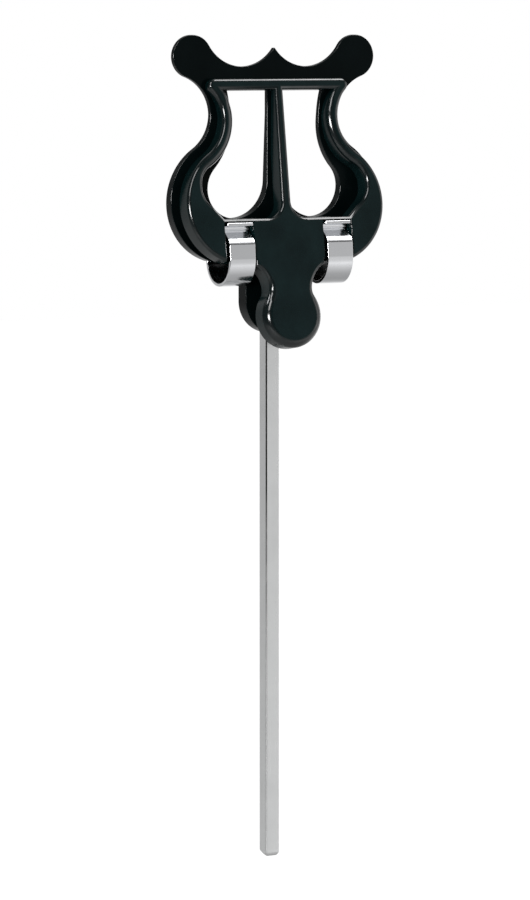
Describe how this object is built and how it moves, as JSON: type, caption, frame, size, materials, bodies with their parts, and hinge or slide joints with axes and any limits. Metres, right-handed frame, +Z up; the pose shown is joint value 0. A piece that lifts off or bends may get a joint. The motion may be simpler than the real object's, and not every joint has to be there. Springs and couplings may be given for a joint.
{
  "type": "marching lyre",
  "caption": "Black plastic marching lyre that clips sheet music between sprung lyre-shaped jaws, with a square steel stem for an instrument's lyre socket.",
  "frame": {"origin": "Centre of the stem's lower end", "axes": "+Z up the stem toward the horns, +X to the right seen from the reader's side, -Y to the front, toward the reader"},
  "size_m": [0.068, 0.0208, 0.2442],
  "materials": {
    "black_plastic": "Glossy moulded black plastic",
    "spring_steel": "Bright nickel-plated spring steel",
    "stem_steel": "Satin nickel-plated square bar"
  },
  "bodies": {
    "rear": {"rear_jaw": "black_plastic", "stem": "stem_steel", "left_spring": "spring_steel", "right_spring": "spring_steel"},
    "front": {"front_jaw": "black_plastic"}
  },
  "joints": [
    {"name": "jaw_hinge", "type": "hinge", "parent": "rear", "child": "front", "pos_m": [0, -0.005, 0.1773], "axis": [1, 0, 0], "range_deg": [0, 18], "stiffness_Nm_per_rad": 0.6, "springref_deg": -20.05, "deforming": ["left_spring", "right_spring"]}
  ]
}
